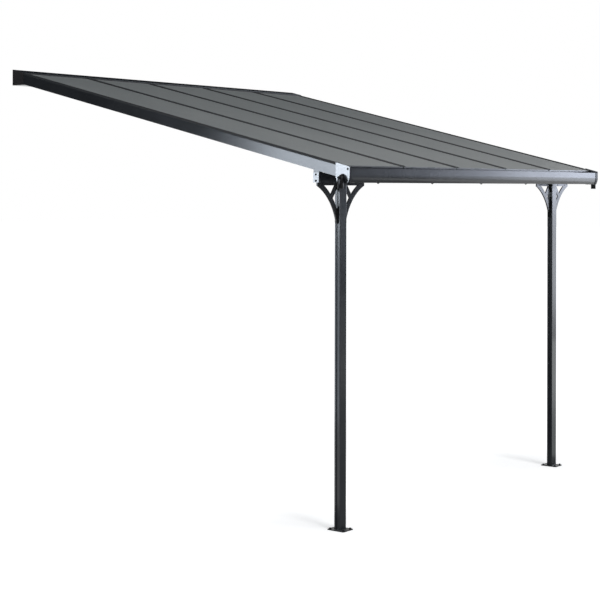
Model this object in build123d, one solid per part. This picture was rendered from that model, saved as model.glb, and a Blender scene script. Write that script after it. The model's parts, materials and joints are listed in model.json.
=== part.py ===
from build123d import *
import math
import os

# A wall-mounted patio cover: five roof sheets between sloping rafters, a profile along the
# wall, a gutter along the front, and a beam on two posts. Millimetres. The origin is on the
# back face of the wall profile, at the middle of its length and height. X runs along the
# wall, Y points into the wall and Z is up.

# Overall sizes
WIDTH = 3050.0              # over the outer faces of the side rafters
PROJECTION = 2950.0         # wall to the front of the gutter
WALL_RISE = 2870.0          # ground to the top of the sheets at the wall
GUTTER_RISE = 2177.0        # ground to the same plane above the gutter's front
BAYS = 5                    # roof sheets side by side

# Wall profile
WALL_WEB = 3.0
WALL_FLANGE = 100.0         # depth of the sloping top flange
WALL_NOSE = 112.0           # depth of the bottom flange
WALL_CAP = 3.0              # thickness of the plates on its ends
WALL_HOLE = 9.0             # screw holes in the web
WALL_HOLE_RISE = 14.0       # above the middle of the web

# Rafters, measured square to the roof plane
RAFTER_DEPTH = 70.0         # top of the sheets to the underside of a rafter
RAFTER_WALL = 2.5
BOX_WIDTH = 34.0            # closed chamber of a middle rafter
SHELF_WIDTH = 52.0          # flange that carries two sheets
STEM = 8.0                  # rib between two sheets
SIDE_FOOT = 40.0            # bottom flange of a side rafter
SIDE_SHELF = 44.0
SIDE_LIP = 9.0

# Sheets and the strips over them
SHEET = 6.0
SHEET_GAP = 3.0             # side clearance of a sheet in its slot
SHEET_OVERHANG = 38.0       # past the back wall of the gutter
CAP_RISE = 6.0
CAP_WIDTH = 48.0
CAP_SKIN = 2.0
TRIM_WIDTH = 34.0
TRIM_SHOULDER = 20.0
TRIM_DROP = 12.0
END_TRIM_LEG = 16.0
END_TRIM_SKIN = 1.5

# Gutter
GUTTER_DEPTH = 97.0         # back wall to front
GUTTER_DROP = 87.0          # roof plane at the front to the bottom
GUTTER_WALL = 2.5
GUTTER_LIP = 14.0
GUTTER_STEP = 3.0           # front lip below the roof plane
GUTTER_FLAT = 84.0          # back wall to where the bottom meets the curved front
GUTTER_BULGE = 48.0         # height of the foremost point above the bottom
HEEL_DEPTH = 14.0           # slanting corner between the back wall and the bottom
HEEL_RISE = 32.0
END_PLATE = 4.0
END_MARGIN = 2.5
END_COLLAR = 25.0           # length of an end cap's collar round the gutter

# Outlet elbows
OUTLET_RADIUS = 18.0
OUTLET_BORE = 15.5
OUTLET_BEND = 19.0
OUTLET_LENGTH = 48.0        # straight end below the bend
OUTLET_SETBACK = 47.0       # gutter front to the outlet's middle
OUTLET_HEIGHT = 32.0        # gutter bottom to the outlet's middle
COLLAR_RADIUS = 20.5
COLLAR = 4.0

# Beam and the wedges between it and the rafters
BEAM_SETBACK = 250.0        # gutter front to the middle of beam and posts
BEAM_DEPTH = 42.0
BEAM_HEIGHT = 58.0
BEAM_WALL = 2.5
BEAM_CAP = 4.0
WEDGE_MIN = 9.5             # height of a wedge at its thin front

# Posts, grooved on both sides for the braces
POST_INSET = 240.0          # roof edge to the middle of a post
POST_WIDTH = 66.0
POST_DEPTH = 42.0
POST_WALL = 2.5
POST_RADIUS = 4.0
GROOVE_WIDTH = 13.0
GROOVE_DEPTH = 5.0

# Feet
FOOT_WIDTH = 98.0
FOOT_LENGTH = 126.0
FOOT_PLATE = 6.0
FOOT_CORNER = 8.0
FOOT_HOLE = 9.0
FOOT_EDGE = 14.0            # hole to the plate's edge
SPIGOT_HEIGHT = 60.0
SPIGOT_WALL = 3.0
SPIGOT_FIT = 0.3

# Braces
BRACE_WIDTH = 198.0         # post face to the tip under the beam
BRACE_HEIGHT = 246.0
BRACE_PLATE = 9.0
BRACE_TIP = 18.0            # straight end under the beam, before the hollow edge
BRACE_TOE = 12.0            # straight end on the post
BRACE_SAG = 0.12            # depth of the hollow edge as a share of its chord
BRACE_TOP = 17.0            # width of the bar along the beam
BRACE_SIDE = 4.0            # strip along the post, outside its groove
BRACE_ARCH = 32.0           # width of the bar along the hollow edge
BRACE_DIAGONAL = 27.0
BRACE_CORNER = 5.0          # rounding of the windows

SLOPE = math.atan((WALL_RISE - GUTTER_RISE) / PROJECTION)
RISE_TO_PLANE = 1.0 / math.cos(SLOPE)
WALL_STACK = (CAP_RISE + WALL_WEB + RAFTER_DEPTH) * RISE_TO_PLANE + WALL_WEB
WALL_TOP = (WALL_STACK + WALL_NOSE * math.tan(SLOPE)) / 2
ROOF_AT_WALL = WALL_TOP - (CAP_RISE + WALL_WEB) * RISE_TO_PLANE
GROUND = ROOF_AT_WALL - WALL_RISE
ROOF_FRONT = GROUND + GUTTER_RISE
HALF = WIDTH / 2
POST_LINE = HALF - POST_INSET
BEAM_LINE = PROJECTION - BEAM_SETBACK
PITCH = (WIDTH - 2 * TRIM_SHOULDER) / BAYS
GUTTER_BACK = PROJECTION - GUTTER_DEPTH
GUTTER_BOTTOM = ROOF_FRONT - GUTTER_DROP
BEAM_FRONT = BEAM_LINE + BEAM_DEPTH / 2


def roof(depth, above=0.0):
    """Height of the plane that lies above the sheets' top by that much, at a depth from the wall."""
    return ROOF_AT_WALL - depth * math.tan(SLOPE) + above * RISE_TO_PLANE


BEAM_TOP = roof(BEAM_FRONT, -RAFTER_DEPTH) - WEDGE_MIN
BEAM_BOTTOM = BEAM_TOP - BEAM_HEIGHT


def face(points):
    """Flat face inside a closed outline of straight runs."""
    return make_face(Polyline(*points, close=True))


def along_wall(section, x_low, x_high):
    """Bar along X; its section is drawn as depth from the wall and height."""
    start = Plane(origin=(x_high, 0, 0), x_dir=(0, -1, 0), z_dir=(-1, 0, 0))
    return extrude(start * section, amount=x_high - x_low)


def down_slope(section, x, depth_low, depth_high):
    """Bar down the roof; its section is drawn as offset along X and height above the sheets."""
    margin = 2 * RAFTER_DEPTH
    start = Plane(
        origin=(x, 0, ROOF_AT_WALL),
        x_dir=(1, 0, 0),
        z_dir=(0, -math.cos(SLOPE), -math.sin(SLOPE)),
    )
    start = start.offset(depth_low * RISE_TO_PLANE - margin)
    length = (depth_high - depth_low) * RISE_TO_PLANE + 2 * margin
    bar = extrude(start * section, amount=length)
    return bar & between(depth_low, depth_high)


def between(depth_low, depth_high):
    """Tall block between two depths from the wall, used to cut bars off upright."""
    block = Box(2 * WIDTH, depth_high - depth_low, 4 * WALL_RISE)
    return Pos(0, -(depth_low + depth_high) / 2, 0) * block


def joints():
    """X of the rib of each middle rafter."""
    return [PITCH * (k - BAYS / 2) for k in range(1, BAYS)]


def seat(depth):
    """Height of the ledge inside the wall profile that carries the rafters."""
    return roof(depth, -RAFTER_DEPTH)


def wall_profile():
    nose = WALL_NOSE
    outline = face([
        (0, -WALL_TOP),
        (nose, -WALL_TOP),
        (nose, seat(nose)),
        (WALL_WEB, seat(WALL_WEB)),
        (WALL_WEB, roof(WALL_WEB, CAP_RISE)),
        (WALL_FLANGE, roof(WALL_FLANGE, CAP_RISE)),
        (WALL_FLANGE, roof(WALL_FLANGE, CAP_RISE + WALL_WEB)),
        (0, WALL_TOP),
    ])
    floor = WALL_WEB - WALL_TOP
    run = WALL_WEB / math.tan(SLOPE)
    chamber = face([
        (WALL_WEB, floor),
        (nose - run, floor),
        (WALL_WEB, floor + (nose - run - WALL_WEB) * math.tan(SLOPE)),
    ])
    bar = along_wall(outline - chamber, -HALF, HALF)
    for x in wall_holes():
        bar -= Pos(x, 0, WALL_HOLE_RISE) * Rot(90, 0, 0) * Cylinder(WALL_HOLE / 2, 4 * WALL_WEB)
    return bar


def wall_holes():
    """X of the wall screws: one in the middle of each bay."""
    return [PITCH * (k - (BAYS - 1) / 2) for k in range(BAYS)]


def wall_cap(x_low):
    nose = WALL_NOSE
    outline = face([
        (0, -WALL_TOP),
        (nose, -WALL_TOP),
        (nose, roof(nose, -TRIM_DROP)),
        (WALL_FLANGE, roof(WALL_FLANGE, CAP_RISE + WALL_WEB)),
        (0, WALL_TOP),
    ])
    plate = along_wall(outline, x_low, x_low + WALL_CAP)
    return fillet(plate.edges().filter_by(Axis.X), 1.5)


def wall_gasket():
    """Strips that close the slot over each sheet, from one cover strip to the next."""
    lines = [-HALF + TRIM_WIDTH] + joints() + [HALF - TRIM_WIDTH]
    strips = []
    for k in range(BAYS):
        low = lines[k] + (CAP_WIDTH / 2 if k else 0)
        high = lines[k + 1] - (CAP_WIDTH / 2 if k < BAYS - 1 else 0)
        section = face([(low, 0), (high, 0), (high, CAP_RISE), (low, CAP_RISE)])
        strips.append(down_slope(section, 0, WALL_FLANGE - 12, WALL_FLANGE + 2))
    return Compound(children=strips)


def middle_rafter_section():
    """Closed chamber under a wide shelf, with a rib between the sheets."""
    top = -SHEET
    under = top - RAFTER_WALL
    wide = SHELF_WIDTH / 2
    box = BOX_WIDTH / 2
    outline = face([
        (-box, -RAFTER_DEPTH),
        (box, -RAFTER_DEPTH),
        (box, under),
        (wide, under),
        (wide, top),
        (STEM / 2, top),
        (STEM / 2, CAP_RISE - CAP_SKIN),
        (-STEM / 2, CAP_RISE - CAP_SKIN),
        (-STEM / 2, top),
        (-wide, top),
        (-wide, under),
        (-box, under),
    ])
    inner = box - RAFTER_WALL
    chamber = face([
        (-inner, RAFTER_WALL - RAFTER_DEPTH),
        (inner, RAFTER_WALL - RAFTER_DEPTH),
        (inner, under),
        (-inner, under),
    ])
    return outline - chamber


def middle_rafter(x):
    return down_slope(middle_rafter_section(), x, WALL_WEB, GUTTER_BACK)


def mirrored(points, side):
    """Outline drawn inward from the roof's edge, turned for the left (1) or right (-1) side."""
    return [(side * x, y) for x, y in points]


def side_rafter(side):
    """Channel with a shelf for the sheet; its outer wall is the roof's edge."""
    top = -SHEET
    under = top - RAFTER_WALL
    wall = RAFTER_WALL
    foot = SIDE_FOOT
    points = [
        (0, -RAFTER_DEPTH),
        (foot, -RAFTER_DEPTH),
        (foot, SIDE_LIP - RAFTER_DEPTH),
        (foot - wall, SIDE_LIP - RAFTER_DEPTH),
        (foot - wall, wall - RAFTER_DEPTH),
        (wall, wall - RAFTER_DEPTH),
        (wall, under),
        (SIDE_SHELF, under),
        (SIDE_SHELF, top),
        (TRIM_SHOULDER, top),
        (TRIM_SHOULDER, CAP_RISE - CAP_SKIN),
        (TRIM_SHOULDER - wall, CAP_RISE - CAP_SKIN),
        (TRIM_SHOULDER - wall, top),
        (wall, top),
        (0, top),
    ]
    return down_slope(face(mirrored(points, side)), -side * HALF, WALL_WEB, GUTTER_BACK)


def edge_trim(side):
    """Snap-on cover along the roof's edge: it leans over the rafter and holds the sheet down."""
    skin = CAP_SKIN
    points = [
        (0, -SHEET),
        (0, -skin),
        (TRIM_SHOULDER - 8, CAP_RISE),
        (TRIM_WIDTH, CAP_RISE),
        (TRIM_WIDTH, 0),
        (TRIM_WIDTH - skin, 0),
        (TRIM_WIDTH - skin, CAP_RISE - skin),
        (TRIM_SHOULDER - 6, CAP_RISE - skin),
        (skin, -2 * skin),
        (skin, -SHEET),
    ]
    return down_slope(face(mirrored(points, side)), -side * HALF, WALL_WEB, GUTTER_BACK)


def joint_cap(x):
    """Strip with sloping flanks over a joint between sheets, open below, on the rafter's rib."""
    half = CAP_WIDTH / 2
    flat = CAP_RISE - CAP_SKIN
    points = [
        (-half, 0),
        (-half, CAP_SKIN),
        (-half / 2, CAP_RISE),
        (half / 2, CAP_RISE),
        (half, CAP_SKIN),
        (half, 0),
        (half - CAP_SKIN, 0),
        (STEM / 2, flat),
        (-STEM / 2, flat),
        (CAP_SKIN - half, 0),
    ]
    return down_slope(face(points), x, WALL_FLANGE - 12, GUTTER_BACK + SHEET_OVERHANG)


def sheet_edges(k):
    """Low and high X of roof sheet k."""
    lines = joints()
    low = lines[k - 1] + STEM / 2 if k else -HALF + TRIM_SHOULDER
    high = lines[k] - STEM / 2 if k < BAYS - 1 else HALF - TRIM_SHOULDER
    return low + SHEET_GAP, high - SHEET_GAP


def roof_sheet(k):
    low, high = sheet_edges(k)
    section = face([(low, -SHEET), (high, -SHEET), (high, 0), (low, 0)])
    return down_slope(section, 0, WALL_WEB + SHEET_GAP, GUTTER_BACK + SHEET_OVERHANG)


def sheet_end_trims():
    """Channel on the front end of each sheet, over the gutter."""
    tip = GUTTER_BACK + SHEET_OVERHANG
    skin = END_TRIM_SKIN
    back = tip - END_TRIM_LEG
    section = face([
        (back, roof(back, -SHEET - skin)),
        (tip + skin, roof(tip + skin, -SHEET - skin)),
        (tip + skin, roof(tip + skin)),
        (tip, roof(tip)),
        (tip, roof(tip, -SHEET)),
        (back, roof(back, -SHEET)),
    ])
    return Compound(children=[along_wall(section, *sheet_edges(k)) for k in range(BAYS)])


def gutter_outline():
    """Outside of the gutter: upright back, slanting heel, flat bottom and a curved front."""
    top_back = roof(GUTTER_BACK, -SHEET)
    top_front = ROOF_FRONT - GUTTER_STEP
    front = PROJECTION
    heel = GUTTER_BACK + HEEL_DEPTH
    turn = GUTTER_BACK + GUTTER_FLAT
    bulge = GUTTER_BOTTOM + GUTTER_BULGE
    return make_face([
        Line((GUTTER_BACK, top_back), (GUTTER_BACK, GUTTER_BOTTOM + HEEL_RISE)),
        Line((GUTTER_BACK, GUTTER_BOTTOM + HEEL_RISE), (heel, GUTTER_BOTTOM)),
        Line((heel, GUTTER_BOTTOM), (turn, GUTTER_BOTTOM)),
        ThreePointArc((turn, GUTTER_BOTTOM), (front - 3, GUTTER_BOTTOM + 23), (front, bulge)),
        Line((front, bulge), (front, top_front)),
        Line((front, top_front), (front - GUTTER_LIP, top_front)),
        Line((front - GUTTER_LIP, top_front), (GUTTER_BACK, top_back)),
    ])


def gutter():
    outer = gutter_outline()
    inner = offset(outer, amount=-GUTTER_WALL, kind=Kind.INTERSECTION)
    mouth = face([
        (GUTTER_BACK + GUTTER_WALL, ROOF_FRONT - GUTTER_DROP / 2),
        (PROJECTION - GUTTER_LIP, ROOF_FRONT - GUTTER_DROP / 2),
        (PROJECTION - GUTTER_LIP, ROOF_FRONT + GUTTER_DROP),
        (GUTTER_BACK + GUTTER_WALL, ROOF_FRONT + GUTTER_DROP),
    ])
    return along_wall(outer - inner - mouth, -HALF, HALF)


def gutter_cap_outline():
    """Outside of an end plate: a margin round the gutter, and up over the roof's edge."""
    rim = offset(gutter_outline(), amount=END_MARGIN)
    back = GUTTER_BACK - END_MARGIN
    front = PROJECTION + END_MARGIN
    upper = face([
        (back, GUTTER_BOTTOM + GUTTER_BULGE),
        (front, GUTTER_BOTTOM + GUTTER_BULGE),
        (front, ROOF_FRONT + CAP_RISE),
        (back, roof(back, CAP_RISE + END_MARGIN)),
    ])
    return rim + upper


def gutter_cap_collar():
    """Wall of an end cap's collar: round the front and bottom of the gutter, clear of its mouth."""
    below = GUTTER_BOTTOM - 2 * END_MARGIN
    above = ROOF_FRONT + 2 * END_MARGIN
    front = PROJECTION + 2 * END_MARGIN
    middle = GUTTER_BOTTOM + GUTTER_BULGE
    reach = face([
        (GUTTER_BACK, below),
        (front, below),
        (front, above),
        (PROJECTION - GUTTER_LIP, above),
        (PROJECTION - GUTTER_LIP, middle),
        (GUTTER_BACK, middle),
    ])
    return (offset(gutter_outline(), amount=END_MARGIN) - gutter_outline()) & reach


def outlet_middle():
    """Depth and height of the middle of an outlet on its end plate."""
    return PROJECTION - OUTLET_SETBACK, GUTTER_BOTTOM + OUTLET_HEIGHT


def gutter_cap(side):
    """End plate of the gutter with a hole for the outlet and a collar over the gutter's end."""
    depth, height = outlet_middle()
    opening = Pos(depth, height) * Circle(OUTLET_BORE)
    low = HALF if side > 0 else -HALF - END_PLATE
    inner = HALF - END_COLLAR if side > 0 else -HALF
    plate = along_wall(gutter_cap_outline() - opening, low, low + END_PLATE)
    return plate + along_wall(gutter_cap_collar(), inner, inner + END_COLLAR)


def outlets():
    """Elbow from each end plate: a collar, a quarter bend and a straight end pointing down."""
    depth, height = outlet_middle()
    ring = Circle(OUTLET_RADIUS) - Circle(OUTLET_BORE)
    start = Plane(origin=(0, 0, 0), x_dir=(0, 1, 0), z_dir=(1, 0, 0))
    collar = extrude(start * (Circle(COLLAR_RADIUS) - Circle(OUTLET_BORE)), amount=COLLAR)
    pivot = Axis(origin=(COLLAR, 0, -OUTLET_BEND), direction=(0, 1, 0))
    bend = revolve(start.offset(COLLAR) * ring, axis=pivot, revolution_arc=90)
    end = Plane(origin=(COLLAR + OUTLET_BEND, 0, -OUTLET_BEND), x_dir=(1, 0, 0), z_dir=(0, 0, -1))
    elbow = collar + bend + extrude(end * ring, amount=OUTLET_LENGTH)
    right = Pos(HALF + END_PLATE, -depth, height) * elbow
    return Compound(children=[mirror(right, about=Plane.YZ), right])


def beam():
    tube = Rectangle(BEAM_DEPTH, BEAM_HEIGHT)
    tube -= Rectangle(BEAM_DEPTH - 2 * BEAM_WALL, BEAM_HEIGHT - 2 * BEAM_WALL)
    middle = Pos(BEAM_LINE, (BEAM_TOP + BEAM_BOTTOM) / 2)
    return along_wall(middle * tube, BEAM_CAP - HALF, HALF - BEAM_CAP)


def beam_cap(side):
    """Plug in the beam's end: a plate and a hollow neck inside the tube."""
    middle = Pos(BEAM_LINE, (BEAM_TOP + BEAM_BOTTOM) / 2)
    plate = RectangleRounded(BEAM_DEPTH, BEAM_HEIGHT, 3)
    width = BEAM_DEPTH - 2 * BEAM_WALL
    height = BEAM_HEIGHT - 2 * BEAM_WALL
    neck = Rectangle(width, height) - Rectangle(width - 4, height - 4)
    low = HALF - BEAM_CAP if side > 0 else -HALF
    reach = HALF - BEAM_CAP - 15 if side > 0 else BEAM_CAP - HALF
    cap = along_wall(middle * plate, low, low + BEAM_CAP)
    return cap + along_wall(middle * neck, reach, reach + 15)


def rafter_wedges():
    """Sloping blocks that fill the space between the beam and the rafters above it."""
    back = BEAM_LINE - BEAM_DEPTH / 2
    section = face([
        (back, BEAM_TOP),
        (BEAM_FRONT, BEAM_TOP),
        (BEAM_FRONT, roof(BEAM_FRONT, -RAFTER_DEPTH)),
        (back, roof(back, -RAFTER_DEPTH)),
    ])
    spans = [(-HALF + BEAM_CAP, -HALF + SIDE_FOOT), (HALF - SIDE_FOOT, HALF - BEAM_CAP)]
    spans += [(x - BOX_WIDTH / 2, x + BOX_WIDTH / 2) for x in joints()]
    return Compound(children=[along_wall(section, low, high) for low, high in spans])


def post_section():
    """Rectangular tube with a groove down the middle of each side face."""
    outer = RectangleRounded(POST_WIDTH, POST_DEPTH, POST_RADIUS)
    inner = RectangleRounded(POST_WIDTH - 2 * POST_WALL, POST_DEPTH - 2 * POST_WALL, 1.0)
    for side in (-1, 1):
        centre = side * (POST_WIDTH - GROOVE_DEPTH) / 2
        deeper = GROOVE_DEPTH + POST_WALL
        outer -= Pos(centre, 0) * Rectangle(GROOVE_DEPTH, GROOVE_WIDTH)
        floor = side * (POST_WIDTH - deeper) / 2
        inner -= Pos(floor, 0) * Rectangle(deeper, GROOVE_WIDTH + 2 * POST_WALL)
    return outer - inner


def post(side):
    low = GROUND + FOOT_PLATE
    base = Plane(origin=(side * POST_LINE, -BEAM_LINE, low))
    return extrude(base * post_section(), amount=BEAM_BOTTOM - low)


def foot(side):
    """Plate with a hole near each corner and a spigot inside the post."""
    base = Plane(origin=(side * POST_LINE, -BEAM_LINE, GROUND))
    plate = RectangleRounded(FOOT_WIDTH, FOOT_LENGTH, FOOT_CORNER)
    spacing_x = FOOT_WIDTH - 2 * FOOT_EDGE
    spacing_y = FOOT_LENGTH - 2 * FOOT_EDGE
    plate -= GridLocations(spacing_x, spacing_y, 2, 2) * Circle(FOOT_HOLE / 2)
    width = POST_WIDTH - 2 * (GROOVE_DEPTH + POST_WALL + SPIGOT_FIT)
    depth = POST_DEPTH - 2 * (POST_WALL + SPIGOT_FIT)
    spigot = Rectangle(width, depth) - Rectangle(width - 2 * SPIGOT_WALL, depth - 2 * SPIGOT_WALL)
    body = extrude(base * plate, amount=FOOT_PLATE)
    return body + extrude(base * spigot, amount=SPIGOT_HEIGHT)


def brace_corners():
    """Tip under the beam, toe on the post and middle of the hollow edge, from the inner corner."""
    tip = (BRACE_WIDTH, -BRACE_TIP)
    toe = (BRACE_TOE, -BRACE_HEIGHT)
    chord = math.hypot(tip[0] - toe[0], tip[1] - toe[1])
    sag = BRACE_SAG * chord
    lean = math.atan2(tip[1] - toe[1], tip[0] - toe[0])
    middle = ((tip[0] + toe[0]) / 2, (tip[1] + toe[1]) / 2)
    hollow = (middle[0] - sag * math.sin(lean), middle[1] + sag * math.cos(lean))
    return tip, toe, hollow, lean


def brace_windows():
    """Two rounded openings, one each side of the diagonal bar."""
    tip, toe, hollow, lean = brace_corners()
    chord = math.hypot(tip[0] - toe[0], tip[1] - toe[1])
    radius = chord * (BRACE_SAG / 2 + 1 / (8 * BRACE_SAG))
    centre = (hollow[0] + radius * math.sin(lean), hollow[1] - radius * math.cos(lean))
    opening = face([
        (BRACE_SIDE, -BRACE_TOP),
        (BRACE_WIDTH, -BRACE_TOP),
        (BRACE_WIDTH, -BRACE_HEIGHT),
        (BRACE_SIDE, -BRACE_HEIGHT),
    ])
    opening -= Pos(*centre) * Circle(radius + BRACE_ARCH)
    reach = math.hypot(*hollow)
    angle = math.degrees(math.atan2(hollow[1], hollow[0]))
    opening -= Rot(0, 0, angle) * Pos(reach / 2, 0) * Rectangle(2 * reach, BRACE_DIAGONAL)
    return [fillet(window.vertices(), BRACE_CORNER) for window in opening.faces()]


def brace(side, inward):
    """Plate between post and beam with a hollow edge, two windows and a tongue in the groove."""
    tip, toe, hollow, lean = brace_corners()
    plate = make_face([
        Line((0, 0), (BRACE_WIDTH, 0)),
        Line((BRACE_WIDTH, 0), tip),
        ThreePointArc(tip, hollow, toe),
        Line(toe, (0, -BRACE_HEIGHT)),
        Line((0, -BRACE_HEIGHT), (0, 0)),
    ])
    for window in brace_windows():
        plate -= window
    plate += face([
        (-GROOVE_DEPTH, -BRACE_TOP),
        (0, -BRACE_TOP),
        (0, BRACE_TOP - BRACE_HEIGHT),
        (-GROOVE_DEPTH, BRACE_TOP - BRACE_HEIGHT),
    ])
    direction = -side if inward else side
    start = Plane(
        origin=(side * POST_LINE + direction * POST_WIDTH / 2, -BEAM_LINE, BEAM_BOTTOM),
        x_dir=(direction, 0, 0),
        z_dir=(0, -direction, 0),
    )
    return extrude(start * plate, amount=BRACE_PLATE / 2, both=True)


def pieces():
    """Every piece of the patio cover by name."""
    parts = {
        "wall_profile": wall_profile(),
        "wall_cap_left": wall_cap(-HALF - WALL_CAP),
        "wall_cap_right": wall_cap(HALF),
        "wall_gasket": wall_gasket(),
        "rafter_left": side_rafter(1),
        "rafter_right": side_rafter(-1),
        "edge_trim_left": edge_trim(1),
        "edge_trim_right": edge_trim(-1),
        "sheet_end_trims": sheet_end_trims(),
        "gutter": gutter(),
        "gutter_cap_left": gutter_cap(-1),
        "gutter_cap_right": gutter_cap(1),
        "outlets": outlets(),
        "beam": beam(),
        "beam_cap_left": beam_cap(-1),
        "beam_cap_right": beam_cap(1),
        "rafter_wedges": rafter_wedges(),
    }
    for number, x in enumerate(joints(), 1):
        parts[f"rafter_{number}"] = middle_rafter(x)
        parts[f"joint_cap_{number}"] = joint_cap(x)
    for k in range(BAYS):
        parts[f"roof_sheet_{k + 1}"] = roof_sheet(k)
    for name, side in (("left", -1), ("right", 1)):
        parts[f"post_{name}"] = post(side)
        parts[f"foot_{name}"] = foot(side)
        parts[f"brace_{name}_outer"] = brace(side, False)
        parts[f"brace_{name}_inner"] = brace(side, True)
    return parts


os.makedirs("parts", exist_ok=True)
for name, shape in pieces().items():
    export_step(shape, f"parts/{name}.step")
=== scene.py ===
import json
import math

import bmesh
import bpy
from mathutils import Matrix, Vector


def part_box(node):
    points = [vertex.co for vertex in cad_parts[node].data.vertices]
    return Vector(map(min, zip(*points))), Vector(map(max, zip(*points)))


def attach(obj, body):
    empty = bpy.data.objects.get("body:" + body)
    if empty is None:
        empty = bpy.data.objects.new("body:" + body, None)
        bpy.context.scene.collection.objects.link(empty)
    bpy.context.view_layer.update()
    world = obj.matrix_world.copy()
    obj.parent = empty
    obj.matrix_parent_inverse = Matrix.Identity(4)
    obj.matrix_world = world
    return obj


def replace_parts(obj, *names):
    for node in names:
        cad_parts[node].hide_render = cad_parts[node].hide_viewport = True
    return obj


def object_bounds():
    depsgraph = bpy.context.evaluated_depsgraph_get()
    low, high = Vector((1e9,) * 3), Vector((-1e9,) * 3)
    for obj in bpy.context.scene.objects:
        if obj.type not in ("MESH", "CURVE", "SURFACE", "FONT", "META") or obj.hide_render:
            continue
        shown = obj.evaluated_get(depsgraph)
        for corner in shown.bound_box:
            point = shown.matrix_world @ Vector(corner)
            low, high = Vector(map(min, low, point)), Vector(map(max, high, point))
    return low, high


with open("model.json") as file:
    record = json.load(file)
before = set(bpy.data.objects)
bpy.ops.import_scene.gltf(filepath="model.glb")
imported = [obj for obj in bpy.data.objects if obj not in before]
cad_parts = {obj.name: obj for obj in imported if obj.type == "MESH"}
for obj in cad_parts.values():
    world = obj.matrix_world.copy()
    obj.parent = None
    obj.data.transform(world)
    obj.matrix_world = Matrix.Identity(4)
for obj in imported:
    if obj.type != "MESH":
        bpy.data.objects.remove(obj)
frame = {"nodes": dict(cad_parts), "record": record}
CAD_LOW, CAD_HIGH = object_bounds()

# Sizes of the patio cover, in metres
GROUND = CAD_LOW.z
WALL_RISE = 2.870           # roof over the ground, at the wall
GUTTER_RISE = 2.177         # roof over the ground, at the gutter
PROJECTION = 2.950          # wall to the gutter's front
SLOPE = math.atan((WALL_RISE - GUTTER_RISE) / PROJECTION)
BAY = 0.602                 # from one joint between sheets to the next
JOINTS = [BAY * (k - 2.5) for k in range(1, 5)]
JOINT_CAP = 0.048           # widths of the cover strips
EDGE_TRIM = 0.034
RIB_SPACING = 0.010         # of the ribs inside the sheets
FOOT_PLATE = 0.006
FOOT_EDGE = 0.014           # bolt hole to the plate's edge
WALL_WEB = 0.003
WALL_HOLE_RISE = 0.014      # screw holes over the origin

# Elbow outlets
OUTLET_RADIUS = 0.018
OUTLET_BEND = 0.019
OUTLET_LENGTH = 0.048       # straight end under the bend
OUTLET_WALL = 0.0025
COLLAR = 0.004              # straight start on the end plate
COLLAR_RADIUS = 0.0205
FLANGE_HEIGHT = 0.0032      # flange that lies on the end plate
FLANGE_BEVEL = 0.001
OUTLET_BEAD = 0.007         # height of the bead under the bend
OUTLET_LIP = 0.001          # height of each slanting edge on the straight end
BEAD_SWELL = 1.05           # radius of the bead, to the pipe's
END_TAPER = 0.97            # radius of the mouth, to the pipe's

# Fasteners and rubber beads
WASHER_HEIGHT = 0.0016
WASHER_BEVEL = 0.0004
HEAD_BEVEL = 0.0007
PAN_HEIGHT = 0.0028
PAN_TAPER = 0.72            # radius of a screw head's top, to its seat's
SOCKET_EDGE = 0.34          # ring round the socket, to the seat's radius
SOCKET_DEPTH = 0.6          # to the head's height
CAP_SCREW_RADIUS = 0.0068   # on the gutter's and the beam's end plates
WALL_CAP_SCREW_RADIUS = 0.0045
BRACE_SCREW_RADIUS = 0.0042
END_BOLT_INSET = 0.020      # from the beam's ends
BEAD_RADIUS = 0.0014
BEAD_GAP = 0.0006           # cover strip to the middle of its bead
SHARP = 0.6                 # radians between two faces, above which an edge is sharp

# Screws of each end plate, from its front and its bottom; below zero, from its back or its top
GUTTER_CAP_SCREWS = ((0.013, -0.039), (0.018, 0.017), (-0.018, 0.033))
BEAM_CAP_SCREWS = ((0.021, 0.010), (0.021, -0.010))
WALL_CAP_SCREWS = ((-0.014, -0.022), (0.016, 0.014), (-0.014, 0.014))
# Screws of each brace, from the post and from its bottom; below zero, from its top
BRACE_SCREWS = ((0.150, -0.0085), (0.045, -0.0085), (0.012, 0.022))

# Camera, matched to the photograph
CAMERA_PLACE = Vector((-8.3465, -8.1411, GROUND + 2.0638))
CAMERA_YAW = math.radians(53.906)
CAMERA_ROLL = math.radians(0.101)
PICTURE = 600.0             # pixels, both ways
FOCAL_LENGTH = 1479.0       # pixels
OPTICAL_CENTRE = (380.0, 187.3)

# Studio: what the camera and mirror rays see is lighter than what lights the object
WORLD_LEVEL = 0.45
FLOOR_HALF = 60.0           # half of the floor's width
FLOOR_GLOW = 0.83
FLOOR_DIP = 0.02            # by which the glow is lower round the cover
FLOOR_FADE = (3.0, 16.0)    # distances from the origin over which the dip fades
FLOOR_TONE = 0.55
FOOT_GLOW = 0.455           # lower glow and lighter tone at the feet, where soft shadows show
FOOT_TONE = 0.90
FOOT_FADE = (0.2, 0.75)     # distances from a foot over which both fade
FOOT_SHIFT = 0.15           # middle of both, from the foot's middle towards the wall
COOL = (0.82, 0.90, 1.0)
COLD = (0.76, 0.83, 1.0)
PALE = (0.84, 0.90, 1.0)
GREENISH = (0.90, 0.96, 0.96)

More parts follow.
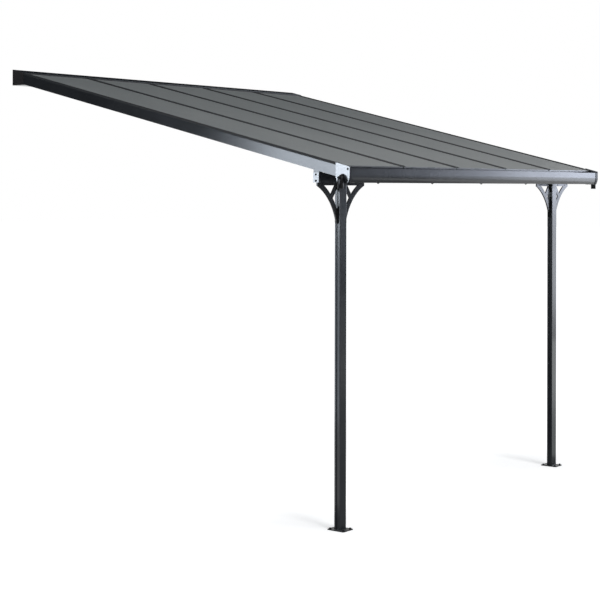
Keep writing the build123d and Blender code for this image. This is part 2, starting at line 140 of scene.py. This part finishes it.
# Cards that shine in glossy faces only: name, place over the ground, heading, size, radiance, tint
LIT_CARDS = (
    ("left_card", (-4.6, -2.10, 2.4), (1, 0, 0), (4.9, 1.0), 14.2, COOL),
    ("left_low_card", (-2.6, -1.75, 1.15), (1, 0, 0), (1.1, 1.5), 2.5, COOL),
    ("right_card", (6.0, -4.25, 2.5), (-1, 0, 0), (4.5, 1.2), 6.9, COLD),
    ("right_mid_card", (6.0, -7.25, 2.45), (-1, 0, 0), (1.5, 2.5), 1.3, COLD),
    ("right_low_card", (6.0, -3.5, 1.35), (-1, 0, 0), (6.0, 1.3), 2.4, PALE),
    ("far_post_card", (1.6, -2.97, 0.45), (-1, 0, 0), (0.25, 0.9), 0.85, GREENISH),
)

# Cards that darken glossy faces: name, place over the ground, heading, size, glow
DARK_CARDS = (
    ("left_flag", (-4.7, 2.0, 3.5), (1, 0, 0), (24.0, 7.0), 0.04),
    ("right_flag", (6.1, -12.0, 3.5), (-1, 0, 0), (11.0, 7.0), 0.04),
    ("roof_flag", (3.8, 1.0, 4.25), (0, -1, 0), (11.6, 2.9), 0.0),
    ("far_post_flag", (0.7, -2.35, 1.0), (1, 0, 0), (1.0, 2.0), 0.01),
    ("floor_flag", (1.05, -3.0, 0.003), (0, 0, 1), (5.7, 14.0), 0.2),
)


# Nodes and groups

def add(tree, kind, inputs=(), **settings):
    """New node of a tree, with its settings and with values or links in its inputs."""
    item = tree.nodes.new(kind)
    for key, value in settings.items():
        setattr(item, key, value)
    for key, value in dict(inputs).items():
        if isinstance(value, bpy.types.NodeSocket):
            tree.links.new(value, item.inputs[key])
        else:
            item.inputs[key].default_value = value
    return item


def math_node(tree, operation, *values):
    """Result of a sum on one, two or three values or sockets."""
    return add(tree, "ShaderNodeMath", enumerate(values), operation=operation).outputs[0]


def mix(tree, factor, first, second):
    """Colour between two colours."""
    inputs = {"Factor": factor, "A": first, "B": second}
    return add(tree, "ShaderNodeMix", inputs, data_type="RGBA").outputs[2]


def grade(tree, value, low=(0.0, 1.0), high=(0.0, 1.0), **settings):
    """Carries a value from one range to another."""
    return add(tree, "ShaderNodeMapRange", {
        "Value": value,
        "From Min": low[0],
        "From Max": low[1],
        "To Min": high[0],
        "To Max": high[1],
    }, **settings).outputs["Result"]


def object_place(tree):
    """Object coordinates."""
    return add(tree, "ShaderNodeTexCoord").outputs["Object"]


def noise(tree, scale, **inputs):
    """Noise over object coordinates."""
    inputs = {"Vector": object_place(tree), "Scale": scale, **inputs}
    return add(tree, "ShaderNodeTexNoise", inputs).outputs["Fac"]


def shader_group(name, inputs, outputs):
    """Empty node group with named sockets; gives its tree, its input node and its output node."""
    tree = bpy.data.node_groups.new(name, "ShaderNodeTree")
    for label, kind, value in inputs:
        socket = tree.interface.new_socket(label, in_out="INPUT", socket_type=kind)
        socket.default_value = value
    for label, kind in outputs:
        tree.interface.new_socket(label, in_out="OUTPUT", socket_type=kind)
    return tree, tree.nodes.new("NodeGroupInput"), tree.nodes.new("NodeGroupOutput")


def make_tone_group():
    """Two close tones of one finish, drifting slowly over the surface."""
    tree, source, target = shader_group(
        "drifting_tone",
        [
            ("Tone", "NodeSocketColor", (0.1, 0.1, 0.1, 1)),
            ("Other Tone", "NodeSocketColor", (0.2, 0.2, 0.2, 1)),
            ("Scale", "NodeSocketFloat", 4.0),
        ],
        [("Color", "NodeSocketColor"), ("Drift", "NodeSocketFloat")],
    )
    drift = noise(tree, source.outputs["Scale"], Detail=4.0, Roughness=0.6)
    spread = grade(tree, drift, (0.32, 0.68))
    colour = mix(tree, spread, source.outputs["Tone"], source.outputs["Other Tone"])
    tree.links.new(colour, target.inputs["Color"])
    tree.links.new(spread, target.inputs["Drift"])
    return tree


def make_peel_group():
    """Height of a sprayed or moulded skin: fine dimples over a softer swell."""
    tree, source, target = shader_group(
        "coating_skin",
        [("Scale", "NodeSocketFloat", 500.0), ("Swell", "NodeSocketFloat", 0.4)],
        [("Height", "NodeSocketFloat")],
    )
    dimples = noise(tree, source.outputs["Scale"], Detail=2.0)
    coarser = math_node(tree, "MULTIPLY", source.outputs["Scale"], 0.12)
    swell = noise(tree, coarser, Detail=1.0)
    height = math_node(tree, "MULTIPLY_ADD", swell, source.outputs["Swell"], dimples)
    tree.links.new(height, target.inputs["Height"])
    return tree


def make_dust_group():
    """Where dust settles: faces that look up, in soft patches."""
    tree, source, target = shader_group(
        "settled_dust",
        [("Amount", "NodeSocketFloat", 0.2), ("Scale", "NodeSocketFloat", 9.0)],
        [("Mask", "NodeSocketFloat")],
    )
    surface = add(tree, "ShaderNodeNewGeometry")
    split = add(tree, "ShaderNodeSeparateXYZ", {"Vector": surface.outputs["Normal"]})
    upward = grade(tree, split.outputs["Z"], (0.25, 0.95))
    patches = noise(tree, source.outputs["Scale"], Detail=5.0, Roughness=0.65)
    lie = grade(tree, patches, (0.35, 0.75))
    cover = math_node(tree, "MULTIPLY", upward, lie)
    mask = math_node(tree, "MULTIPLY", cover, source.outputs["Amount"])
    tree.links.new(mask, target.inputs["Mask"])
    return tree


TONE = make_tone_group()
PEEL = make_peel_group()
DUST = make_dust_group()
DUST_TINT = (0.30, 0.29, 0.27, 1)


# Materials

def new_finish(name):
    """New material; gives it, its tree and its Principled shader."""
    finish = bpy.data.materials.new(name)
    finish.use_nodes = True
    return finish, finish.node_tree, finish.node_tree.nodes["Principled BSDF"]


def drifting_tone(tree, tone, other, scale):
    """Tone group in a material."""
    inputs = {"Tone": (*tone, 1), "Other Tone": (*other, 1), "Scale": scale}
    return add(tree, "ShaderNodeGroup", inputs, node_tree=TONE)


def dust_mask(tree, amount, scale):
    """Mask of the dust group in a material."""
    inputs = {"Amount": amount, "Scale": scale}
    return add(tree, "ShaderNodeGroup", inputs, node_tree=DUST).outputs["Mask"]


def dress_surface(tree, surface, colour, roughness, height, strength, distance):
    """Links a colour, a roughness and a relief to a shader."""
    relief = add(tree, "ShaderNodeBump", {
        "Strength": strength,
        "Distance": distance,
        "Height": height,
    })
    tree.links.new(colour, surface.inputs["Base Color"])
    tree.links.new(roughness, surface.inputs["Roughness"])
    tree.links.new(relief.outputs["Normal"], surface.inputs["Normal"])


def coated(name, tone, other, rough, dust=0.2, skin=500.0, bump=0.06, **shader):
    """Material of a coated or moulded skin: drifting tone, settled dust and fine dimples."""
    finish, tree, surface = new_finish(name)
    drift = drifting_tone(tree, tone, other, 3.0)
    colour = mix(tree, dust_mask(tree, dust, 9.0), drift.outputs["Color"], DUST_TINT)
    sheen = grade(tree, drift.outputs["Drift"], high=rough)
    peel = add(tree, "ShaderNodeGroup", {"Scale": skin, "Swell": 0.5}, node_tree=PEEL)
    dress_surface(tree, surface, colour, sheen, peel.outputs["Height"], bump, 0.0006)
    for key, value in shader.items():
        surface.inputs[key.replace("_", " ")].default_value = value
    return finish


def twin_wall():
    """Grey twin-wall sheet: the ribs inside it show as fine lines that run down the slope."""
    finish, tree, surface = new_finish("grey_twin_wall_sheet")
    split = add(tree, "ShaderNodeSeparateXYZ", {"Vector": object_place(tree)})
    across = math_node(tree, "PINGPONG", split.outputs["X"], RIB_SPACING / 2)
    rib = grade(tree, across, (0.0012, 0.0004), interpolation_type="SMOOTHSTEP")
    drift = drifting_tone(tree, (0.233, 0.252, 0.255), (0.267, 0.285, 0.287), 1.2)
    ribbed = mix(tree, rib, drift.outputs["Color"], (0.176, 0.191, 0.195, 1))
    settled = dust_mask(tree, 0.16, 6.0)
    colour = mix(tree, settled, ribbed, DUST_TINT)
    sheen = grade(tree, settled, high=(0.36, 0.70))
    dress_surface(tree, surface, colour, sheen, rib, 0.12, 0.0004)
    surface.inputs["Transmission Weight"].default_value = 0.2
    surface.inputs["Specular IOR Level"].default_value = 0.3
    return finish


def end_plate_plastic():
    """Anthracite end plates: glossy where they face outwards, matt on the collar behind."""
    finish = coated(
        "anthracite_cap_plastic", (0.024, 0.027, 0.032), (0.032, 0.035, 0.041), (0.30, 0.38),
        dust=0.05, skin=700.0, Specular_IOR_Level=0.1, Coat_IOR=1.9, Coat_Roughness=0.26,
    )
    tree = finish.node_tree
    surface = add(tree, "ShaderNodeNewGeometry")
    split = add(tree, "ShaderNodeSeparateXYZ", {"Vector": surface.outputs["Normal"]})
    outward = math_node(tree, "ABSOLUTE", split.outputs["X"])
    glaze = grade(tree, outward, (0.6, 0.9), (0.0, 0.85))
    tree.links.new(glaze, tree.nodes["Principled BSDF"].inputs["Coat Weight"])
    return finish


FINISHES = {
    "frame": coated(
        "anthracite_powder_coat", (0.019, 0.022, 0.026), (0.026, 0.029, 0.034), (0.20, 0.25),
        dust=0.01,
    ),
    "cover_strip": coated(
        "anthracite_matt_coat", (0.011, 0.013, 0.016), (0.015, 0.017, 0.020), (0.50, 0.60),
        dust=0.03, Specular_IOR_Level=0.18,
    ),
    "casting": coated(
        "anthracite_casting", (0.013, 0.014, 0.014), (0.018, 0.019, 0.019), (0.17, 0.22),
        skin=260.0, bump=0.12, Specular_IOR_Level=0.32,
    ),
    "steel": coated(
        "black_coated_steel", (0.016, 0.017, 0.018), (0.026, 0.026, 0.027), (0.38, 0.50),
        dust=0.10, skin=380.0, bump=0.10,
    ),
    "sheet": twin_wall(),
    "clear_trim": coated(
        "dark_channel_plastic", (0.055, 0.060, 0.064), (0.075, 0.080, 0.085), (0.25, 0.34),
    ),
    "cap_plastic": end_plate_plastic(),
    "black_plastic": coated(
        "glossy_black_plastic", (0.006, 0.006, 0.007), (0.010, 0.010, 0.011), (0.24, 0.32),
        dust=0.01, skin=300.0, bump=0.03, Specular_IOR_Level=0.15,
    ),
    "rubber": coated(
        "black_rubber", (0.012, 0.012, 0.012), (0.020, 0.020, 0.020), (0.65, 0.80),
        bump=0.15,
    ),
}
WALL_CAP_PLASTIC = coated(
    "matt_brown_black_plastic", (0.024, 0.022, 0.023), (0.031, 0.028, 0.029), (0.45, 0.55),
    dust=0.02, skin=300.0, bump=0.03, Specular_IOR_Level=0.15,
)
SCREW_BLACK = coated(
    "blackened_screw_steel", (0.018, 0.018, 0.020), (0.035, 0.035, 0.038), (0.30, 0.42),
    dust=0.15, skin=900.0, Metallic=0.6,
)
SCREW_MATT = coated(
    "matt_black_screw", (0.010, 0.010, 0.011), (0.016, 0.016, 0.017), (0.55, 0.65),
    dust=0.02, skin=900.0, Specular_IOR_Level=0.1,
)
ZINC = coated(
    "zinc_plated_steel", (0.36, 0.36, 0.37), (0.46, 0.46, 0.46), (0.28, 0.40),
    dust=0.1, skin=900.0, Metallic=0.9,
)


def finish_cad_nodes():
    """Gives each CAD node the material of its slot; the wall profile's end plates are matt."""
    slots = {part["node"]: part["material_slot"] for part in frame["record"]["subparts"]}
    for name, item in frame["nodes"].items():
        finish = WALL_CAP_PLASTIC if name.startswith("wall_cap") else FINISHES[slots[name]]
        if not item.material_slots:
            item.data.materials.append(finish)
        for slot in item.material_slots:
            slot.material = finish


# Pieces

def keep(shape, name, finish):
    """Turns a finished bmesh into a piece that rides on the frame."""
    bmesh.ops.recalc_face_normals(shape, faces=shape.faces)
    mesh = bpy.data.meshes.new(name)
    shape.to_mesh(mesh)
    shape.free()
    mesh.materials.append(finish)
    for polygon in mesh.polygons:
        polygon.use_smooth = True
    mesh.set_sharp_from_angle(angle=SHARP)
    piece = bpy.data.objects.new(name, mesh)
    bpy.context.scene.collection.objects.link(piece)
    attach(piece, "root")
    return piece


def facing(direction):
    """Turn that lays an axis drawn along +Z in a direction."""
    return Vector(direction).to_track_quat("Z", "Y").to_matrix().to_4x4()


def only(items, kind):
    """Those of some mesh items that are of one kind."""
    return [item for item in items if isinstance(item, kind)]


def drum(shape, turn, start, height, radius, segments, taper=1.0):
    """Closed drum along the +Z of a turn, from a start; gives its vertices."""
    return bmesh.ops.create_cone(
        shape, cap_ends=True, segments=segments, depth=height,
        radius1=radius, radius2=radius * taper,
        matrix=turn @ Matrix.Translation((0, 0, start + height / 2)),
    )["verts"]


def soften(shape, verts, size, segments=2):
    """Rounds the sharp edges among some vertices."""
    chosen = set(verts)
    edges = [
        edge for edge in shape.edges
        if all(vert in chosen for vert in edge.verts)
        and len(edge.link_faces) == 2
        and edge.calc_face_angle() > SHARP
    ]
    bmesh.ops.bevel(
        shape, geom=edges, offset=size, offset_type="OFFSET", segments=segments,
        profile=0.5, affect="EDGES", material=-1,
    )


def hex_bolt(shape, place, direction, across=0.013, height=0.0055, washer=0.010):
    """Washer and hexagon head, seated on a face at a place."""
    turn = Matrix.Translation(place) @ facing(direction)
    disc = drum(shape, turn, 0, WASHER_HEIGHT, washer, segments=28)
    soften(shape, disc, WASHER_BEVEL, segments=1)
    head = drum(shape, turn, WASHER_HEIGHT, height, across / math.sqrt(3), segments=6)
    soften(shape, head, HEAD_BEVEL)


def pan_screw(shape, place, direction, radius):
    """Screw head with a sloping side, and with a socket in its top."""
    turn = Matrix.Translation(place) @ facing(direction)
    head = drum(shape, turn, 0, PAN_HEIGHT, radius, segments=20, taper=PAN_TAPER)
    axis = turn.to_3x3() @ Vector((0, 0, 1))
    faces = {face for vert in head for face in vert.link_faces}
    top = max(faces, key=lambda face: face.calc_center_median() @ axis)
    bmesh.ops.inset_region(shape, faces=[top], thickness=radius * SOCKET_EDGE)
    sunk = bmesh.ops.extrude_discrete_faces(shape, faces=[top])["faces"][0]
    bmesh.ops.translate(shape, verts=sunk.verts, vec=axis * -PAN_HEIGHT * SOCKET_DEPTH)


def inset(low, high, distance):
    """Place at a distance from the low end, or from the high end when it is below zero."""
    return (low if distance > 0 else high) + distance


def foot_bolts(side):
    """Bolts in the four holes of a foot plate."""
    low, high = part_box("foot_" + side)
    shape = bmesh.new()
    for across in (FOOT_EDGE, -FOOT_EDGE):
        for back in (FOOT_EDGE, -FOOT_EDGE):
            x, y = inset(low.x, high.x, across), inset(low.y, high.y, back)
            hex_bolt(shape, (x, y, low.z + FOOT_PLATE), (0, 0, 1))
    keep(shape, "foot_bolts_" + side, SCREW_BLACK)


def cap_screws(kind, side, outward, places, radius):
    """Screws in the outer face of an end plate."""
    low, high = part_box(kind + "_" + side)
    x = low.x if outward < 0 else high.x
    shape = bmesh.new()
    for back, up in places:
        place = (x, inset(low.y, high.y, back), inset(low.z, high.z, up))
        pan_screw(shape, place, (outward, 0, 0), radius)
    keep(shape, kind + "_screws_" + side, SCREW_MATT)


def wall_screws():
    """Screws through the profile's web into the wall, one in the middle of each bay."""
    shape = bmesh.new()
    for bay in range(-2, 3):
        hex_bolt(shape, (bay * BAY, -WALL_WEB, WALL_HOLE_RISE), (0, -1, 0))
    keep(shape, "wall_screws", ZINC)


def rafter_bolts():
    """Bolts up through the beam into each rafter, with their heads under the beam."""
    low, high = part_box("beam")
    y = (low.y + high.y) / 2
    shape = bmesh.new()
    for x in (low.x + END_BOLT_INSET, *JOINTS, high.x - END_BOLT_INSET):
        hex_bolt(shape, (x, y, low.z), (0, 0, -1), across=0.011, height=0.0045, washer=0.009)
    keep(shape, "rafter_bolts", SCREW_BLACK)


def brace_screws(name):
    """Screws in a brace's front: two in its top bar and one in its toe beside the post."""
    low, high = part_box(name)
    post_low, post_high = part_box("post_" + name.split("_")[1])
    away = 1 if low.x > post_low.x else -1
    root = post_high.x if away > 0 else post_low.x
    shape = bmesh.new()
    for reach, up in BRACE_SCREWS:
        place = (root + away * reach, low.y, inset(low.z, high.z, up))
        pan_screw(shape, place, (0, -1, 0), BRACE_SCREW_RADIUS)
    keep(shape, name + "_screws", SCREW_BLACK)


def roof_height(depth):
    """Height of the sheets' top at a depth from the wall."""
    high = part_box("roof_sheet_3")[1]
    return high.z - (depth + high.y) * math.tan(SLOPE)


def bead_down_roof(shape, x, top, foot):
    """Rubber bead that lies on the sheets, from one depth to another."""
    start = Vector((x, -top, roof_height(top)))
    end = Vector((x, -foot, roof_height(foot)))
    ring = bmesh.ops.create_circle(
        shape, cap_ends=True, segments=10, radius=BEAD_RADIUS,
        matrix=Matrix.Translation(start) @ facing(end - start),
    )
    cap = ring["verts"][0].link_faces[0]
    grown = bmesh.ops.extrude_face_region(shape, geom=[cap])["geom"]
    bmesh.ops.translate(shape, verts=only(grown, bmesh.types.BMVert), vec=end - start)


def sealing_beads():
    """Beads along both feet of each strip over a joint, and along the edge trims."""
    cap_low, cap_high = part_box("joint_cap_1")
    trim_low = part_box("edge_trim_left")[0]
    shape = bmesh.new()
    for middle in JOINTS:
        for side in (-1, 1):
            x = middle + side * (JOINT_CAP / 2 + BEAD_GAP)
            bead_down_roof(shape, x, -cap_high.y, -cap_low.y)
    for side in (-1, 1):
        x = side * (-trim_low.x - EDGE_TRIM - BEAD_GAP)
        bead_down_roof(shape, x, -cap_high.y, -trim_low.y)
    keep(shape, "sealing_beads", FINISHES["rubber"])


def grow(shape, rim):
    """Extrudes a rim of edges; gives the new vertices and the new rim."""
    run = bmesh.ops.extrude_edge_only(shape, edges=rim)["geom"]
    return only(run, bmesh.types.BMVert), only(run, bmesh.types.BMEdge)


def elbow_skin(shape, outward, centre):
    """Outer skin of one elbow: quarter bend, bead and straight end with a tapered mouth."""
    ring = bmesh.ops.create_circle(
        shape, segments=40, radius=OUTLET_RADIUS,
        matrix=Matrix.Translation(centre) @ Matrix.Rotation(math.pi / 2, 4, "Y"),
    )
    rim = list({edge for vert in ring["verts"] for edge in vert.link_edges})
    verts, rim = grow(shape, rim)
    bmesh.ops.translate(shape, verts=verts, vec=(outward * COLLAR, 0, 0))
    bend = bmesh.ops.spin(
        shape, geom=rim, cent=centre + Vector((outward * COLLAR, 0, -OUTLET_BEND)),
        axis=(0, 1, 0), dvec=(0, 0, 0), angle=outward * math.pi / 2, steps=14,
        use_merge=False, use_duplicate=False,
    )["geom_last"]
    rim = only(bend, bmesh.types.BMEdge)
    middle = centre + Vector((outward * (COLLAR + OUTLET_BEND), 0, 0))
    about_middle = Matrix.Translation((-middle.x, -middle.y, 0))
    for drop, swell in (
        (OUTLET_LIP, BEAD_SWELL),
        (OUTLET_BEAD - 2 * OUTLET_LIP, 1.0),
        (OUTLET_LIP, 1 / BEAD_SWELL),
        (OUTLET_LENGTH - OUTLET_BEAD - OUTLET_LIP, 1.0),
        (OUTLET_LIP, END_TAPER),
    ):
        verts, rim = grow(shape, rim)
        bmesh.ops.translate(shape, verts=verts, vec=(0, 0, -drop))
        bmesh.ops.scale(shape, verts=verts, vec=(swell, swell, 1), space=about_middle)


def outlet_elbow(side, outward):
    """Elbow on an end plate, with the wall of its pipe and a flange."""
    low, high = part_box("outlets")
    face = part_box("gutter_cap_" + side)
    x = face[0].x if outward < 0 else face[1].x
    centre = Vector((x, (low.y + high.y) / 2, high.z - COLLAR_RADIUS))
    shape = bmesh.new()
    elbow_skin(shape, outward, centre)
    bmesh.ops.recalc_face_normals(shape, faces=shape.faces)
    bmesh.ops.solidify(shape, geom=shape.faces[:], thickness=OUTLET_WALL)
    turn = Matrix.Translation(centre) @ facing((outward, 0, 0))
    flange = drum(shape, turn, 0, FLANGE_HEIGHT, COLLAR_RADIUS, segments=48)
    soften(shape, flange, FLANGE_BEVEL)
    return keep(shape, "outlet_elbow_" + side, FINISHES["black_plastic"])


def dress():
    """Adds the small pieces that the CAD leaves out."""
    for side, outward in (("left", -1), ("right", 1)):
        foot_bolts(side)
        cap_screws("gutter_cap", side, outward, GUTTER_CAP_SCREWS, CAP_SCREW_RADIUS)
        cap_screws("beam_cap", side, outward, BEAM_CAP_SCREWS, CAP_SCREW_RADIUS)
        cap_screws("wall_cap", side, outward, WALL_CAP_SCREWS, WALL_CAP_SCREW_RADIUS)
        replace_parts(outlet_elbow(side, outward), "outlets")
        for place in ("outer", "inner"):
            brace_screws(f"brace_{side}_{place}")
    wall_screws()
    rafter_bolts()
    sealing_beads()


# Studio

def seen_rays(tree):
    """One for the rays that see the white studio: camera, mirror and see-through rays."""
    rays = add(tree, "ShaderNodeLightPath").outputs
    shown = math_node(tree, "MAXIMUM", rays["Is Camera Ray"], rays["Is Glossy Ray"])
    return math_node(tree, "MAXIMUM", shown, rays["Is Transmission Ray"])


def studio_world():
    """White all round; it lights the object at a lower level than it shows."""
    world = bpy.data.worlds.new("studio")
    bpy.context.scene.world = world
    world.use_nodes = True
    tree = world.node_tree
    tree.nodes.clear()
    light = add(tree, "ShaderNodeBackground", {
        "Color": (0.93, 0.96, 1.0, 1),
        "Strength": WORLD_LEVEL,
    })
    white = add(tree, "ShaderNodeBackground", {"Color": (1, 1, 1, 1), "Strength": 1.0})
    inputs = {0: seen_rays(tree), 1: light.outputs[0], 2: white.outputs[0]}
    blend = add(tree, "ShaderNodeMixShader", inputs)
    add(tree, "ShaderNodeOutputWorld", {"Surface": blend.outputs[0]})


def stage_plane(name, finish_name, half, turn):
    """Square with an empty material, for the studio; gives it and the material's tree."""
    shape = bmesh.new()
    bmesh.ops.create_grid(shape, x_segments=1, y_segments=1, size=half, matrix=turn)
    mesh = bpy.data.meshes.new(name)
    shape.to_mesh(mesh)
    shape.free()
    plane = bpy.data.objects.new(name, mesh)
    bpy.context.scene.collection.objects.link(plane)
    finish = bpy.data.materials.new(finish_name)
    finish.use_nodes = True
    finish.node_tree.nodes.clear()
    mesh.materials.append(finish)
    return plane, finish.node_tree


def near_feet(tree, place):
    """One at both feet, falling to nothing beside them."""
    split = add(tree, "ShaderNodeSeparateXYZ", {"Vector": place})
    folded = add(tree, "ShaderNodeCombineXYZ", {
        "X": math_node(tree, "ABSOLUTE", split.outputs["X"]),
        "Y": split.outputs["Y"],
        "Z": split.outputs["Z"],
    })
    foot_low, foot_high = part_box("foot_right")
    middle = (foot_low + foot_high) / 2
    away = add(tree, "ShaderNodeVectorMath", {
        0: folded.outputs[0],
        1: (middle.x, middle.y + FOOT_SHIFT, GROUND),
    }, operation="DISTANCE").outputs["Value"]
    return grade(tree, away, FOOT_FADE, (1.0, 0.0), interpolation_type="SMOOTHSTEP")


def studio_floor():
    """White floor that glows where it is seen; the glow dips round the cover and at the feet."""
    turn = Matrix.Translation((0, 0, GROUND))
    floor, tree = stage_plane("studio_floor", "studio_floor_white", FLOOR_HALF, turn)
    place = object_place(tree)
    near = near_feet(tree, place)
    tone = grade(tree, near, high=(FLOOR_TONE, FOOT_TONE))
    matt = add(tree, "ShaderNodeBsdfDiffuse", {"Color": tone})
    reach = add(tree, "ShaderNodeVectorMath", {0: place}, operation="LENGTH").outputs["Value"]
    fade = grade(
        tree, reach, FLOOR_FADE, (FLOOR_GLOW - FLOOR_DIP, FLOOR_GLOW),
        interpolation_type="SMOOTHSTEP",
    )
    sunk = grade(tree, near, high=(fade, FOOT_GLOW))
    level = math_node(tree, "MULTIPLY", seen_rays(tree), sunk)
    lift = add(tree, "ShaderNodeEmission", {"Color": (1, 1, 1, 1), "Strength": level})
    both = add(tree, "ShaderNodeAddShader", {0: matt.outputs[0], 1: lift.outputs[0]})
    add(tree, "ShaderNodeOutputMaterial", {"Surface": both.outputs[0]})


def dark_card(name, place, towards, size, glow):
    """Dark card that only shows in glossy faces; it casts no shadow."""
    turn = facing(towards) @ Matrix.Diagonal((*size, 1, 1))
    card, tree = stage_plane(name, name, 0.5, turn)
    card.location = (place[0], place[1], GROUND + place[2])
    for kind in ("camera", "diffuse", "transmission", "volume_scatter", "shadow"):
        setattr(card, "visible_" + kind, False)
    dim = add(tree, "ShaderNodeEmission", {"Color": (1, 1, 1, 1), "Strength": glow})
    add(tree, "ShaderNodeOutputMaterial", {"Surface": dim.outputs[0]})


def add_lamp(name, kind, towards):
    """New lamp that shines along a heading."""
    lamp = bpy.data.objects.new(name, bpy.data.lights.new(name, kind))
    lamp.rotation_euler = Vector(towards).to_track_quat("-Z", "Y").to_euler()
    bpy.context.scene.collection.objects.link(lamp)
    return lamp


def softbox(name, place, towards, size, radiance, tint=(1, 1, 1)):
    """Area light whose face glows at a radiance; the camera doesn't see it."""
    lamp = add_lamp(name, "AREA", towards)
    lamp.location = (place[0], place[1], GROUND + place[2])
    lamp.visible_camera = False
    lamp.data.shape = "RECTANGLE"
    lamp.data.size, lamp.data.size_y = size
    lamp.data.energy = radiance * math.pi * size[0] * size[1]
    lamp.data.color = tint
    return lamp


def sun(name, towards, strength, spread):
    """Even light along a heading; its spread in degrees softens the shadows."""
    lamp = add_lamp(name, "SUN", towards)
    lamp.visible_glossy = False
    lamp.data.energy = strength
    lamp.data.angle = math.radians(spread)


def studio_lights():
    """Soft light from the front, and cards that shine or darken in the coated faces."""
    softbox("front_softbox", (-1.5, -8.0, 6.5), (0, 0.75, -0.65), (4.0, 4.0), 3.0)
    sun("front_sun", (0.306, 1.0, -1.28), 0.55, 13.0)
    for card in LIT_CARDS:
        softbox(*card).visible_diffuse = False
    for card in DARK_CARDS:
        dark_card(*card)


def photo_camera():
    """Camera with the photograph's place, direction and framing."""
    data = bpy.data.cameras.new("photo_camera")
    data.sensor_width = 36.0
    data.lens = FOCAL_LENGTH / PICTURE * data.sensor_width
    data.shift_x = (PICTURE / 2 - OPTICAL_CENTRE[0]) / PICTURE
    data.shift_y = (OPTICAL_CENTRE[1] - PICTURE / 2) / PICTURE
    data.clip_end = 200.0
    forward = Vector((math.sin(CAMERA_YAW), math.cos(CAMERA_YAW), 0))
    level = Vector((math.cos(CAMERA_YAW), -math.sin(CAMERA_YAW), 0))
    right = level * math.cos(CAMERA_ROLL) + Vector((0, 0, math.sin(CAMERA_ROLL)))
    up = right.cross(forward)
    turn = Matrix((right, up, -forward)).transposed().to_4x4()
    camera = bpy.data.objects.new("photo_camera", data)
    camera.matrix_world = Matrix.Translation(CAMERA_PLACE) @ turn
    bpy.context.scene.collection.objects.link(camera)
    bpy.context.scene.camera = camera


finish_cad_nodes()
dress()
studio_world()
studio_floor()
studio_lights()
photo_camera()
bpy.context.scene.view_settings.view_transform = "Standard"
